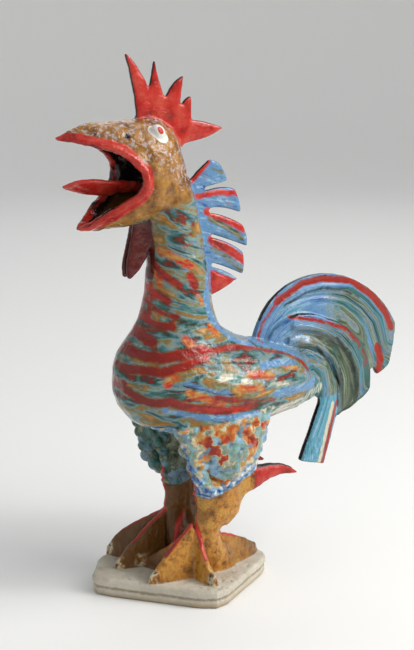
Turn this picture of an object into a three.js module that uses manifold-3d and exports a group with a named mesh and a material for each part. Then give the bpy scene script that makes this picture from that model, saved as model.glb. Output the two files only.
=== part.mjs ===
// Stoneware rooster: hand built from clay slabs and coils, glazed, and fired in one piece with
// the two-layer slab that it stands on. Its beak is wide open, with a tongue inside.
// Millimetres, +Z up. The beak points along -Y and the rooster's left side faces +X.
// The origin is on the flat underside of the standing slab, below the middle of the body.

import * as THREE from "three";
import { mergeVertices } from "three/addons/utils/BufferGeometryUtils.js";
import Module from "manifold-3d";

const wasm = await Module();
wasm.setup();

// Sizes that can be set by themselves
const figureHeight = 483; // top of the standing slab to the tip of the comb
const slabLayer = 8.5; // thickness of each of the two clay layers of the standing slab
const slabWidth = 150; // standing slab across the rooster, along X
const slabLength = 178; // standing slab along the rooster, along Y
const slabEdgeRound = 1.6; // softened arris of each clay layer
const combPlate = 6; // clay plate of the comb
const manePlate = 6; // clay plate of the cut crest on the nape
const featherPlate = 6.5; // clay plates of the tail
const featherLap = 0.5; // depth by which the tail's plates press into each other
const strandSpacing = 2; // from a tail plate's face to the middle of the strands laid on it
const hangingPlate = 8; // thicker plate of the lowest tail feather
const wattlePlate = 4.5; // clay plates below the chin
const tonguePlate = 4.5; // clay plate of the tongue
const mouthWall = 5.5; // clay wall around the hollow of the beak
const lipRadius = 5; // coil of clay laid round the open beak
const wingRelief = 3; // how far a wing stands out of the body
const eyeRadius = 6.3; // pressed-on bead of each eye, across
const eyeLength = 16; // the bead along its leaning long axis
const toeSink = 3; // depth to which feet and toes are luted into the standing slab

// The figure is drawn with the tip of its comb at this point (y, z), and grows with figureHeight.
const combTip = [-55, 482];
const grow = figureHeight / combTip[1];
const slabTop = 2 * slabLayer;
const bodySides = 18;
const limbSides = 12;

const axisX = new THREE.Vector3(1, 0, 0);
const axisZ = new THREE.Vector3(0, 0, 1);

// A drawn point, with z counted from the top of the standing slab.
const at = (x, y, z) => new THREE.Vector3(x * grow, y * grow, z * grow + slabTop);

function solidFrom(geometry) {
  const bare = geometry.clone();
  bare.deleteAttribute("normal");
  bare.deleteAttribute("uv");
  const merged = mergeVertices(bare, 1e-4);
  return new wasm.Manifold(
    new wasm.Mesh({
      numProp: 3,
      vertProperties: merged.attributes.position.array,
      triVerts: new Uint32Array(merged.index.array),
    }),
  );
}

// A round section: half sizes a and b, squarer above exponent 2 and more of a diamond below it.
function roundSection(sides, exponent = 2) {
  const soft = (v) => Math.sign(v) * Math.abs(v) ** (2 / exponent);
  return (a, b) =>
    Array.from({ length: sides }, (_, k) => {
      const angle = (2 * Math.PI * k) / sides;
      return [a * soft(Math.cos(angle)), b * soft(Math.sin(angle))];
    });
}

// A flat plate's section, of half thickness a and half width b, with its arrises taken off.
function plateSection(a, b) {
  const cut = 0.3 * Math.min(a, b);
  return [
    [a, -b + cut],
    [a, b - cut],
    [a - cut, b],
    [-a + cut, b],
    [-a, b - cut],
    [-a, -b + cut],
    [-a + cut, -b],
    [a - cut, -b],
  ];
}

// A closed form swept through drawn stations [x, y, z, a, b]: its centre line and its half sizes
// run smoothly through them. Half size a lies along the side direction and b square to it.
function loft(stations, { section, steps, side = axisX, roll = 0 }) {
  const centre = new THREE.CatmullRomCurve3(stations.map(([x, y, z]) => at(x, y, z)));
  const sizes = new THREE.CatmullRomCurve3(
    stations.map(([, , , a, b]) => new THREE.Vector3(a, b, 0)),
  );
  const rings = [];
  for (let i = 0; i <= steps; i++) {
    const t = i / steps;
    const middle = centre.getPoint(t);
    const along = centre.getTangent(t);
    const across = side.clone().addScaledVector(along, -side.dot(along)).normalize();
    across.applyAxisAngle(along, roll);
    const up = new THREE.Vector3().crossVectors(along, across);
    const { x: a, y: b } = sizes.getPoint(t);
    rings.push(
      section(Math.max(a, 0.3), Math.max(b, 0.3)).map(([u, v]) =>
        middle.clone().addScaledVector(across, u * grow).addScaledVector(up, v * grow),
      ),
    );
  }
  return closeRings(rings);
}

function closeRings(rings) {
  const sides = rings[0].length;
  const last = rings.length - 1;
  const middleOf = (ring) =>
    ring.reduce((sum, p) => sum.add(p), new THREE.Vector3()).divideScalar(sides);
  const points = [...rings.flat(), middleOf(rings[0]), middleOf(rings[last])];
  const firstMiddle = points.length - 2;
  const lastMiddle = points.length - 1;
  const faces = [];
  for (let k = 0; k < sides; k++) {
    const next = (k + 1) % sides;
    faces.push(firstMiddle, next, k);
    faces.push(lastMiddle, last * sides + k, last * sides + next);
    for (let i = 0; i < last; i++) {
      const here = i * sides;
      const there = here + sides;
      faces.push(here + k, here + next, there + k);
      faces.push(here + next, there + next, there + k);
    }
  }
  const geometry = new THREE.BufferGeometry().setFromPoints(points);
  geometry.setIndex(faces);
  return solidFrom(geometry);
}

// A plate cut to an outline drawn in the middle plane (y, z), centred on x.
function plate(shape, thickness, x = 0) {
  const geometry = new THREE.ExtrudeGeometry(shape, {
    depth: thickness,
    bevelEnabled: false,
    curveSegments: 5,
  });
  geometry.translate(0, 0, -thickness / 2 + x);
  geometry.applyMatrix4(
    new THREE.Matrix4().makeBasis(new THREE.Vector3(0, 1, 0), axisZ, axisX),
  );
  return solidFrom(geometry);
}

// A closed outline from drawn points (y, z): [y, z] is a corner, and [cy, cz, y, z] is reached
// by a curve pulled towards (cy, cz).
function outline(steps) {
  const flat = (y, z) => [y * grow, z * grow + slabTop];
  const shape = new THREE.Shape();
  steps.forEach((step, i) => {
    if (i === 0) shape.moveTo(...flat(...step));
    else if (step.length === 2) shape.lineTo(...flat(...step));
    else shape.quadraticCurveTo(...flat(step[0], step[1]), ...flat(step[2], step[3]));
  });
  return shape;
}

const joinAll = (solids) => solids.reduce((sum, solid) => sum.add(solid));
const mirrored = (stations, hand) => stations.map(([x, ...rest]) => [x * hand, ...rest]);

// Standing slab
// Corners as shares of half the slab's width and length, going round from the rooster's left.
const slabCorners = [
  [1.0, 0.0],
  [0.1, 1.0],
  [-0.64, 0.88],
  [-1.0, 0.04],
  [-0.86, -0.64],
  [-0.22, -0.98],
];

function slabShape(inset) {
  const halfX = slabWidth / 2 - inset;
  const halfY = slabLength / 2 - inset;
  const corners = slabCorners.map(([x, y]) => new THREE.Vector2(x * halfX, y * halfY));
  const rounding = 0.16;
  const shape = new THREE.Shape();
  corners.forEach((corner, i) => {
    const before = corners[(i + corners.length - 1) % corners.length];
    const after = corners[(i + 1) % corners.length];
    const enter = corner.clone().lerp(before, rounding);
    const leave = corner.clone().lerp(after, rounding);
    if (i === 0) shape.moveTo(enter.x, enter.y);
    else shape.lineTo(enter.x, enter.y);
    shape.quadraticCurveTo(corner.x, corner.y, leave.x, leave.y);
  });
  return shape;
}

function slabLayerSolid(bottom, inset) {
  const geometry = new THREE.ExtrudeGeometry(slabShape(inset), {
    depth: slabLayer - 2 * slabEdgeRound,
    bevelEnabled: true,
    bevelThickness: slabEdgeRound,
    bevelSize: slabEdgeRound,
    bevelOffset: -slabEdgeRound,
    bevelSegments: 1,
    curveSegments: 2,
  });
  geometry.translate(0, 0, bottom + slabEdgeRound);
  return solidFrom(geometry);
}

function standingSlab() {
  const overlap = 0.4; // the layers are pressed together
  return slabLayerSolid(0, 1).add(slabLayerSolid(slabLayer, 0)).add(
    solidFrom(
      new THREE.ExtrudeGeometry(slabShape(2 * slabEdgeRound), {
        depth: 2 * overlap,
        bevelEnabled: false,
        curveSegments: 2,
      }).translate(0, 0, slabLayer - overlap),
    ),
  );
}

// Body and neck
const bodyLine = [
  [0, -64, 183, 12, 12],
  [0, -57, 183, 29, 26],
  [0, -42, 183, 43, 37],
  [0, -20, 181, 50, 42],
  [0, 12, 178, 54, 44],
  [0, 46, 176, 53, 43.5],
  [0, 80, 173, 45, 37],
  [0, 110, 170, 33, 29],
  [0, 135, 171, 21, 22],
  [0, 155, 174, 10, 13],
];

const neckLine = [
  [0, -12, 162, 34, 38],
  [0, -9, 176, 45, 55],
  [0, -6, 191, 48, 62],
  [0, -6, 205, 47, 59.5],
  [0, -6, 216, 43, 52],
  [0, -5.5, 227, 38, 43],
  [0, -5, 239, 34, 36],
  [0, -5, 254, 31, 32],
  [0, -5, 274, 28, 29],
  [0, -6.5, 305, 25, 25.5],
  [0, -9, 328, 24, 24],
  [0, -13, 347, 24, 23.5],
  [0, -18, 366, 24.5, 22],
  [0, -22, 384, 22, 19],
  [0, -24, 398, 14, 13],
];

// Clay that carries the nape down onto the back
const napeLine = [
  [0, 2, 252, 20, 16],
  [0, 17, 227, 27, 16],
  [0, 34, 213, 32, 16],
  [0, 49, 204, 35, 16],
  [0, 68, 197, 33, 15],
  [0, 92, 188, 24, 12],
];

const bodySection = roundSection(bodySides);

function bodySolid(swell = 0) {
  const line = bodyLine.map(([x, y, z, a, b]) => [x, y, z, a + swell, b + swell]);
  return loft(line, { section: bodySection, steps: 14 });
}

function neckSolid() {
  return loft(neckLine, { section: roundSection(bodySides), steps: 14 });
}

function napeSolid() {
  return loft(napeLine, { section: roundSection(14), steps: 7 });
}

// A wing is a low relief on each side, cut to a pointed oval.
const wingOutline = [
  [-26, 193],
  [-14, 208, 4, 210],
  [28, 218, 54, 211],
  [96, 202, 127, 177],
  [100, 172, 73, 169],
  [38, 172, 5, 182],
];

function wingSolids() {
  const reach = slabWidth / 2;
  const middle = reach / 2 + wingRelief;
  const cutter = plate(outline(wingOutline), reach, middle);
  const other = plate(outline(wingOutline), reach, -middle);
  const shell = bodySolid(wingRelief / grow);
  return shell.intersect(cutter.add(other));
}

// Head
// Both jaws are drawn about the edge of the open beak, from its tip back to the jaw's corner.
const upperJaw = [
  [0, -120, 411.5, 1.2, 1.2],
  [0, -112, 411, 6, 6.5],
  [0, -98, 408, 13, 13],
  [0, -79, 404, 21, 20.5],
  [0, -60, 395, 28, 31.5],
  [0, -45, 387, 32.5, 40],
  [0, -28, 380, 31, 37],
  [0, -15, 374, 24, 29],
  [0, -6, 371, 13, 16],
];

const lowerJaw = [
  [0, -102, 331.5, 1.5, 1.5],
  [0, -94, 334.5, 8, 6],
  [0, -80, 343, 16.5, 16],
  [0, -64, 352.5, 25, 25],
  [0, -50, 361, 31, 29],
  [0, -36, 367, 32, 30],
  [0, -22, 369, 27, 26],
  [0, -8, 370, 14, 15],
];

// Edge of the open beak on the rooster's left, from the upper tip round to the lower tip.
const beakEdge = [
  [1, -119, 411.5],
  [10.5, -102, 409.5],
  [17.5, -86, 407],
  [24, -70, 401],
  [29, -57.5, 391],
  [32.5, -50.5, 380],
  [33, -49.5, 371],
  [30.5, -54, 361.5],
  [24, -65.5, 353],
  [16, -80.5, 343.5],
  [8, -93, 334],
  [1, -101, 331],
];

function inset(stations, wall) {
  return stations
    .map(([x, y, z, a, b]) => [x, y, z, a - wall, b - wall])
    .filter(([, y, , a]) => a > 2 && y < -20);
}

function beakHollow() {
  const side = roundSection(10);
  const gape = outline([
    [-140, 416],
    ...beakEdge.map(([, y, z]) => [y, z]),
    [-140, 318],
  ]);
  const wall = mouthWall / grow;
  return joinAll([
    plate(gape, slabWidth),
    loft(inset(upperJaw, wall), { section: side, steps: 6 }),
    loft(inset(lowerJaw, wall), { section: side, steps: 6 }),
    loft([[0, -46, 373, 20, 12], [0, -30, 371, 19, 15], [0, -14, 369, 12, 10]], {
      section: side,
      steps: 4,
    }),
  ]);
}

function lipSolid(hand) {
  const last = beakEdge.length - 1;
  const stations = beakEdge.map(([x, y, z], i) => {
    const nearTip = Math.min(i, last - i) / 2;
    const radius = (lipRadius / grow) * THREE.MathUtils.lerp(0.45, 1, Math.min(1, nearTip));
    return [x * hand, y, z, radius, radius];
  });
  return loft(stations, { section: roundSection(6), steps: 14 });
}

function tongueSolid() {
  const half = tonguePlate / 2 / grow;
  return loft(
    [
      [0, -6, 350, half, 5],
      [0, -24, 359, half, 5],
      [0, -42, 364, half, 5.5],
      [0, -60, 365, half, 9],
      [0, -78, 366, half, 12],
      [0, -92, 368, half, 11.5],
      [0, -105, 369.5, half, 7.5],
      [0, -116, 369.5, half * 0.6, 1.5],
    ],
    { section: plateSection, steps: 10, roll: THREE.MathUtils.degToRad(-52) },
  );
}

const eyePlace = [22, -33.5, 414.5];

function eyeSolid(hand) {
  const bead = new THREE.SphereGeometry(eyeRadius, 8, 6);
  bead.scale(1, 1, eyeLength / 2 / eyeRadius);
  bead.rotateX(THREE.MathUtils.degToRad(33));
  const [x, y, z] = eyePlace;
  const place = at(x * hand, y, z);
  return solidFrom(bead.translate(place.x, place.y, place.z));
}

// Each spike of the comb: curve to its tip, then curve down to the next notch.
const combOutline = [
  [-30, 400],
  [-44, 420],
  [-45, 447, ...combTip],
  [-40, 470, -31, 447],
  [-31, 462, -26.5, 474],
  [-22, 456, -16, 437],
  [-14, 452, 1.5, 459],
  [-1, 445, -3, 421],
  [-2, 438, 9, 441],
  [10, 432, 9, 420],
  [24, 418, 42, 411],
  [28, 402, 2, 399],
  [-6, 390],
];

function combSolid() {
  return plate(outline(combOutline), combPlate);
}

// Middle line of a wattle, with its half width
const wattleLine = [
  [3, -30, 350, 8],
  [3, -37, 337, 10],
  [3.2, -41, 322, 10.5],
  [3.6, -45.5, 306, 10],
  [4.2, -51, 294, 7],
  [5, -55.5, 283.5, 2],
];

function wattleSolid(hand) {
  const half = wattlePlate / 2 / grow;
  const stations = wattleLine.map(([x, y, z, b]) => [x * hand, y, z, half, b]);
  return loft(stations, { section: plateSection, steps: 8 });
}

// The crest on the nape is one plate cut into five tabs.
const maneOutline = [
  [-4, 360],
  [8, 367],
  [28, 384],
  [41, 380, 46, 363],
  [22, 358.5],
  [22, 355],
  [41, 360, 53, 355],
  [59, 346, 59.5, 333],
  [38, 341, 27, 339],
  [27, 335.5],
  [46, 332, 62, 321],
  [67, 312, 66, 301],
  [42, 312, 28.5, 316],
  [28.5, 312.5],
  [48, 307, 62, 296],
  [65, 286, 62, 275],
  [42, 285, 29.5, 289],
  [29.5, 285.5],
  [46, 281, 57, 271.5],
  [44, 264, 30, 259.5],
  [16, 254],
  [-2, 275],
];

function maneSolid() {
  return plate(outline(maneOutline), manePlate);
}

// Tail
// Two plates lie side by side, cut to the outlines of the outer and the middle feathers.
const outerFeather = [
  [70, 190],
  [75, 212],
  [84, 245, 111, 259],
  [129, 267, 149, 266.5],
  [183, 264, 211, 239],
  [226, 224, 232.5, 209],
  [233, 188, 227, 169],
  [220, 162, 213, 160],
  [209, 168],
  [180, 150],
  [110, 160],
];

const middleFeather = [
  [84, 165],
  [86, 208],
  [98, 227, 120, 231],
  [137, 231, 152, 223],
  [186, 213, 198, 182],
  [204, 162, 201, 148],
  [196, 141, 188, 138],
  [180, 131, 170, 129],
  [164, 124, 159, 126.5],
  [165, 142, 165, 158],
  [160, 176, 140, 178],
  [120, 160],
];

// Rolls of clay that follow the feathers: [y, z, radius] along each.
const featherStrands = [
  [[112, 222, 5], [140, 216, 6], [166, 201, 7], [182, 178, 6.5], [186, 156, 6], [182, 140, 4]],
  [[108, 208, 6], [134, 203, 7], [156, 188, 7], [169, 168, 6.5], [173, 148, 6], [170, 134, 4]],
];

function strandSolid(points, hand) {
  const depth = featherPlate / 2;
  const stations = points.map(([y, z, r]) => [
    (hand * (depth + strandSpacing)) / grow,
    y,
    z,
    0.75 * r,
    r,
  ]);
  return loft(stations, { section: roundSection(6), steps: 6 });
}

// The lowest feather hangs down at the rooster's left and turns its edge forward. Its middle
// line, with its half width:
const hangingLine = [
  [9, 108, 178, 14],
  [10, 130, 176, 14],
  [11, 147, 163, 13],
  [11, 151, 146, 13],
  [10, 145, 124, 14.5],
  [9, 133, 86, 16.5],
];

function tailSolids() {
  const half = hangingPlate / 2 / grow;
  const hanging = hangingLine.map(([x, y, z, b]) => [x, y, z, half, b]);
  return [
    plate(outline(outerFeather), featherPlate, -featherPlate / 2),
    plate(outline(middleFeather), featherPlate, featherPlate / 2 - featherLap),
    ...featherStrands.map((points) => strandSolid(points, 1)),
    loft(hanging, {
      section: plateSection,
      steps: 8,
      roll: THREE.MathUtils.degToRad(-16),
    }),
  ];
}

// Legs
const thighLine = [
  [22, 15, 192, 16, 36],
  [29, 17, 173, 22, 47],
  [33, 19.5, 153, 22.5, 48],
  [33, 21.5, 137, 23.5, 42],
  [32, 22, 123, 23, 34],
  [31, 22.5, 110, 21, 30.5],
  [29, 21, 99, 17, 26],
  [27, 14, 89, 11, 15],
];

const shankLine = [
  [25, 23, 112, 9, 30],
  [24, 23, 94, 10, 27],
  [24, 21.5, 77, 10.5, 26.5],
  [24, 19, 63, 10, 24.5],
  [23.5, 12.5, 54, 9.5, 17.5],
  [23, 9.5, 45, 9, 13],
  [22, 9.6, 35, 9.5, 12],
  [19, 13, 22, 11, 16],
  [15, 19, 8, 12, 23],
  [14, 20, -toeSink, 13, 25],
];

const spurLine = [
  [24, 32, 84, 5, 16],
  [24, 50, 85, 5, 14],
  [24, 64, 88, 4.5, 10.5],
  [24, 76, 90.5, 4, 8],
  [24, 90, 89.5, 3.5, 5.8],
  [24, 106, 83, 1.8, 1.8],
];

// Lobes of pinched clay round the ragged hem of a thigh: [x, y, z, radius].
const hemLobes = [
  [40, -25, 148, 9],
  [41, -20, 137, 8.5],
  [42, -15, 125, 8.5],
  [42, -12, 113, 8.5],
  [42, -8, 101, 8.5],
  [41, -1, 91, 8.5],
  [40, 7, 87, 7.5],
  [41, 15, 92, 7.5],
  [42, 24, 101, 8],
  [39, 37, 107, 8],
  [34, 47, 104, 7.5],
  [37, 49, 118, 8],
  [36, 56, 132, 8.5],
  [18, -10, 122, 8],
  [18, -2, 103, 8],
  [19, 15, 95, 8],
  [19, 34, 105, 8],
];

// Toes are ridges pinched up from the slab. Crest of each at its root, arch, knuckle, claw and tip:
const leftToes = [
  [[24, 3, 52], [31, 3, 36], [41, 3, 22], [49, 4, 13], [57, 4.5, 6]],
  [[22, -2, 52], [22, -16, 38], [22, -28, 25], [22, -38, 14], [22.5, -46, 6]],
  [[18, 2, 48], [8, -11, 32], [-4, -20, 20], [-15, -27, 12], [-26.5, -33, 5]],
  [[16, 24, 36], [8, 50, 27], [0, 69, 16], [-6, 78, 9], [-12, 84, 4]],
];

const rightToes = [
  [[-24, -5, 54], [-40, -24, 39], [-53, -37, 28], [-61, -43, 17], [-67, -47, 7]],
  [[-22, -8, 52], [-24, -26, 38], [-25, -40, 25], [-25, -49, 15], [-26, -58.5, 6]],
  [[-18, 10, 54], [-13, 2, 38], [-6, -6, 23], [0, -12, 12], [4, -15, 5]],
  [[-18, 14, 75], [-21, 32, 54], [-27, 46, 30], [-36, 58, 13], [-43, 66, 4]],
];

// Half widths of a toe at its crest and at its foot, at each of its five points
const toeWidths = [
  [2.2, 8],
  [2.2, 7.5],
  [2.4, 7],
  [2.8, 5.5],
  [1.4, 2.6],
];

function toeSolid(points) {
  const crest = new THREE.CatmullRomCurve3(points.map(([x, y, z]) => at(x, y, z)));
  const widths = new THREE.CatmullRomCurve3(
    toeWidths.map(([top, foot]) => new THREE.Vector3(top, foot, 0)),
  );
  const steps = 5;
  const low = slabTop - toeSink;
  const rings = [];
  for (let i = 0; i <= steps; i++) {
    const middle = crest.getPoint(i / steps);
    const along = crest.getTangent(i / steps).setZ(0).normalize();
    const across = new THREE.Vector3().crossVectors(axisZ, along).multiplyScalar(grow);
    const { x: top, y: foot } = widths.getPoint(i / steps);
    const waist = THREE.MathUtils.lerp(top, foot, 0.45);
    const section = [
      [foot, 0],
      [waist, 0.5],
      [top, 1],
      [-top, 1],
      [-waist, 0.5],
      [-foot, 0],
    ];
    rings.push(
      section.map(([u, share]) =>
        middle
          .clone()
          .addScaledVector(across, u)
          .setZ(THREE.MathUtils.lerp(low, middle.z, share)),
      ),
    );
  }
  return closeRings(rings);
}

// The left leg stands a little farther back than the right one.
const legStagger = 4.5;

function legSolids(hand) {
  const limb = roundSection(12);
  const blade = roundSection(limbSides, 1.7);
  const placed = (stations) =>
    mirrored(stations, hand).map(([x, y, ...rest]) => [x, y + hand * legStagger, ...rest]);
  const lobes = placed(hemLobes).map(([x, y, z, r]) => {
    const place = at(x, y, z);
    const lobe = new THREE.IcosahedronGeometry(r * grow, 0);
    return solidFrom(lobe.translate(place.x, place.y, place.z));
  });
  return [
    loft(placed(thighLine), { section: limb, steps: 8 }),
    loft(placed(shankLine), { section: blade, steps: 12 }),
    loft(placed(spurLine), { section: roundSection(8), steps: 7 }),
    ...(hand > 0 ? leftToes : rightToes).map(toeSolid),
    ...lobes,
  ];
}

function roosterSolid() {
  const head = joinAll([
    loft(upperJaw, { section: roundSection(bodySides), steps: 12 }),
    loft(lowerJaw, { section: roundSection(bodySides), steps: 10 }),
    neckSolid(),
  ]).subtract(beakHollow());
  const hands = [1, -1];
  return joinAll([
    head,
    bodySolid(),
    napeSolid(),
    wingSolids(),
    tongueSolid(),
    combSolid(),
    maneSolid(),
    standingSlab(),
    ...tailSolids(),
    ...hands.flatMap((hand) => [
      lipSolid(hand),
      eyeSolid(hand),
      wattleSolid(hand),
      ...legSolids(hand),
    ]),
  ]);
}

function meshFrom(solid) {
  const { vertProperties, triVerts, numProp, numVert } = solid.getMesh();
  const positions = new Float32Array(numVert * 3);
  for (let i = 0; i < numVert; i++) {
    positions.set(vertProperties.subarray(i * numProp, i * numProp + 3), i * 3);
  }
  const geometry = new THREE.BufferGeometry();
  geometry.setAttribute("position", new THREE.BufferAttribute(positions, 3));
  geometry.setIndex(new THREE.BufferAttribute(triVerts, 1));
  geometry.computeVertexNormals();
  return geometry;
}

const glazedStoneware = new THREE.MeshStandardMaterial({
  color: new THREE.Color(0.52, 0.36, 0.27),
  roughness: 0.25,
  metalness: 0,
});

const rooster = new THREE.Mesh(meshFrom(roosterSolid()), glazedStoneware);
rooster.name = "rooster_on_slab";

const sculpture = new THREE.Group();
sculpture.add(rooster);

export default sculpture;
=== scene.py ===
# Looks of the glazed stoneware rooster, built round the imported frame
# The imported solid gives the pose and every outline. Here its facets are smoothed to modelled clay,
# pinched curls, grooves and finger marks are pushed into the surface, and the glazes are painted
# in places that are named in millimetres, in the same frame as the part. Some shade and a highlight
# are painted into the colours too.

import math

import bpy
import numpy as np
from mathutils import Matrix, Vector, kdtree


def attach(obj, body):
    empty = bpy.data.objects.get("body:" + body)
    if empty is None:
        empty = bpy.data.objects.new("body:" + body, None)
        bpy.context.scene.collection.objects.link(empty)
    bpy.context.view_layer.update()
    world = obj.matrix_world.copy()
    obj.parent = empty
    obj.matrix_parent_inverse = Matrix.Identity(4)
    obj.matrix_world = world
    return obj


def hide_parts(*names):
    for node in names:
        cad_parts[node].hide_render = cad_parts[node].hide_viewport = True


MM = 0.001
NODE = "rooster_on_slab"
SEED = 7

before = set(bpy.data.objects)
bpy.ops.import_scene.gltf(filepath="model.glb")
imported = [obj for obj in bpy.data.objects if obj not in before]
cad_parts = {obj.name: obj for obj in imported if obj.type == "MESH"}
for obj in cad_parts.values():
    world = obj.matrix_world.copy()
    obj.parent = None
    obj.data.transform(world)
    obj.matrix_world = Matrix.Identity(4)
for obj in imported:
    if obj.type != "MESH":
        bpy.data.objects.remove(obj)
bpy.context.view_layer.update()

# Heights of the part, in millimetres
SLAB_TOP = 17
SLAB_LAYER = 8.5

# Surface detail, with lengths in millimetres
WELD_GAP = 0.02
FINE_VOXEL = 1.2
VOXEL = FINE_VOXEL
MOST_TRIANGLES = 190000
FACET_ROUNDS = 50
PLATE_WEIGHT = 0.1
FREE_WEIGHT = 0.6
SMOOTHING_LOSS = 0.7
FEET_TOP = 72


def axis_of(rows, z):
    """Middle and half sizes of the neck at height z, from rows of z, middle y, half x and half y."""
    table = np.array(rows)
    return [np.interp(z, table[:, 0], table[:, k]) for k in (1, 2, 3)]


NECK = [
    (222, -6, 47, 59),
    (233, -6, 43, 52),
    (256, -5, 34, 36),
    (291, -5, 28, 29),
    (322, -6.5, 25, 25.5),
    (364, -13, 24, 23.5),
    (401, -22, 22, 19),
]

# Top of the head along Y
HEAD_TOP_Y = [-120, -101, -60, -45, -28, -15, 0]
HEAD_TOP_Z = [430, 437, 443, 445, 434, 424, 408]

# Edge of the open beak on the left, and the eye
BEAK_EDGE = [
    (0, -119, 428),
    (10, -102, 426),
    (24, -70, 418),
    (32, -50, 397),
    (33, -49, 388),
    (30, -54, 379),
    (16, -80, 361),
    (0, -101, 348),
]
EYE_LINE = [(22, -36, 434.5), (22, -31, 428)]
NOSTRIL = (-62.5, 430)
TONGUE_LINE = [(0, -20, 378), (0, -60, 382), (0, -116, 387)]

# Wing: upper and lower edge along Y
WING_TOP = [(-26, 210), (4, 227), (30, 230), (54, 228), (90, 214), (127, 194)]
WING_FOOT = [(-26, 210), (5, 199), (38, 188), (73, 186), (127, 194)]

# Ragged lower edge of a thigh along Y, and how far the left leg stands behind the middle
THIGH_HEM = [
    (-36, 150), (-30, 142), (-24, 134), (-20, 120), (-14, 107), (-8, 99), (0, 94), (8, 93),
    (16, 97), (26, 106), (38, 113), (48, 111), (54, 124), (62, 138),
]
LEG_STAGGER = 4.5

# Lines of the tail in the side view, each from root to tip, that its strands run between
TAIL_LINES = [
    [
        (75, 218), (84, 243), (104, 266), (128, 277), (150, 280),
        (182, 276), (207, 258), (224, 238), (230, 212),
    ],
    [
        (86, 222), (98, 238), (114, 248), (134, 246), (154, 239),
        (172, 230), (186, 214), (195, 198), (199, 170),
    ],
    [(92, 208), (106, 224), (124, 229), (144, 223), (162, 208), (175, 188), (180, 150)],
    [(96, 196), (112, 208), (130, 210), (148, 198), (155, 175), (150, 140), (138, 100)],
]

# Half thicknesses of the plates, with a margin that takes in their edges
PLATE_HALF = 4.2
WATTLE_HALF = 9
TAIL_HALF = 12

# Limits of each kind of clay along Y and Z
COMB_FOOT = 412
COMB_FRONT = -51
COMB_TINES_FOOT = 455
COMB_TINES_FRONT = -62
COMB_MARGIN = 1.5
MANE_FOOT = 268
MANE_TOP = 403
MANE_MARGIN = 1
WATTLE_FOOT = 298
WATTLE_TOP = 366
WATTLE_FRONT = -74
TAIL_START = 74
TAIL_FOOT = 228
TAIL_FOOT_SLOPE = 0.28
BODY_END = 150
HANGING_FRONT = 112
HANGING_BACK = 165
HANGING_TOP = 168
SLAB_MARGIN = 0.6
LEG_TOP = 128
THIGH_FRONT = -46
THIGH_MIDDLE = 15
THIGH_BACK = 68
THIGH_TOP = 172
THIGH_TOP_SLOPE = 0.12
THIGH_INNER = 17
BELLY = 144
HEAD_FOOT = 366
HEAD_FOOT_SLOPE = 0.35
HEAD_MIDDLE = -20
HEAD_BACK = 12
WING_INNER = 20

# How far round its line each small form reaches
LIP_REACH = 9
TONGUE_REACH = 13
TONGUE_ROOT = -22
EYE_REACH = 7.6

# The brush's step across and along its path, and the middle that the tail's strokes turn about
BODY_BRUSH = (6.5, 21)
LEG_BRUSH = (4, 13)
TAIL_STROKES_PER_LINE = 8.5
TAIL_BRUSH_LENGTH = 42
TAIL_BRUSH_DEPTH = 12
TAIL_MIDDLE = (90, 220)
NECK_SLANT = 0.35


# Geometry helpers


def mesh_array(mesh, name, width, kind=np.float32):
    """A vertex property of a mesh as an array."""
    values = np.empty(len(mesh.vertices) * width, kind)
    mesh.vertices.foreach_get(name, values)
    return values.reshape(-1, width).astype(float)


def baked(obj):
    """Puts an object's modifiers into its mesh."""
    bpy.context.view_layer.update()
    evaluated = obj.evaluated_get(bpy.context.evaluated_depsgraph_get())
    mesh = bpy.data.meshes.new_from_object(evaluated)
    obj.modifiers.clear()
    obj.data = mesh


def set_points(mesh, points):
    """Moves a mesh's vertices to points given in millimetres."""
    mesh.vertices.foreach_set("co", (points * MM).astype(np.float32).ravel())
    mesh.update()


def smoothed(points, edges, weight, rounds):
    """Points pulled towards their neighbours, each by its own weight."""
    count = len(points)
    ends = np.concatenate([edges[:, 0], edges[:, 1]])
    others = np.concatenate([edges[:, 1], edges[:, 0]])
    share = 0.5 * weight / np.maximum(np.bincount(ends, minlength=count), 1)
    for _ in range(rounds):
        pulls = []
        for k in range(3):
            offset = points[others, k] - points[ends, k]
            pulls.append(np.bincount(ends, weights=offset, minlength=count) * share)
        points = points + np.stack(pulls, axis=1)
    return points


def rise(value, low, high):
    """Goes smoothly from 0 at low to 1 at high."""
    t = np.clip((value - low) / (high - low), 0, 1)
    return t * t * (3 - 2 * t)


# Large odd numbers that scatter a cell's place and its seed into random bits
CELL_FACTORS = (73856093, 19349663, 83492791)
SEED_FACTOR = 2654435761
FIRST_FACTOR = 2246822519
SECOND_FACTOR = 3266489917
ALL_BITS = 0xFFFFFFFF
KEPT_BITS = 0xFFFFFF
HALF_OF_KEPT = float(0x7FFFFF)


def lattice(cells, seed):
    """A fixed random number from -1 to 1 for each whole-number cell."""
    keys = cells.astype(np.int64) * np.array(CELL_FACTORS)
    mixed = keys[:, 0] ^ keys[:, 1] ^ keys[:, 2]
    mixed = (mixed + seed * SEED_FACTOR) & ALL_BITS
    mixed = ((mixed ^ (mixed >> 15)) * FIRST_FACTOR) & ALL_BITS
    mixed = ((mixed ^ (mixed >> 13)) * SECOND_FACTOR) & ALL_BITS
    return ((mixed ^ (mixed >> 16)) & KEPT_BITS) / HALF_OF_KEPT - 1


def noise(points, size, seed):
    """Smooth noise from -1 to 1 with lumps of about the given size in millimetres."""
    scaled = points / size
    cell = np.floor(scaled)
    part = scaled - cell
    part = part * part * (3 - 2 * part)
    total = np.zeros(len(points))
    for corner in range(8):
        step = np.array([corner & 1, corner >> 1 & 1, corner >> 2 & 1])
        weight = np.prod(np.where(step, part, 1 - part), axis=1)
        total += weight * lattice(cell + step, seed)
    return total


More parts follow.
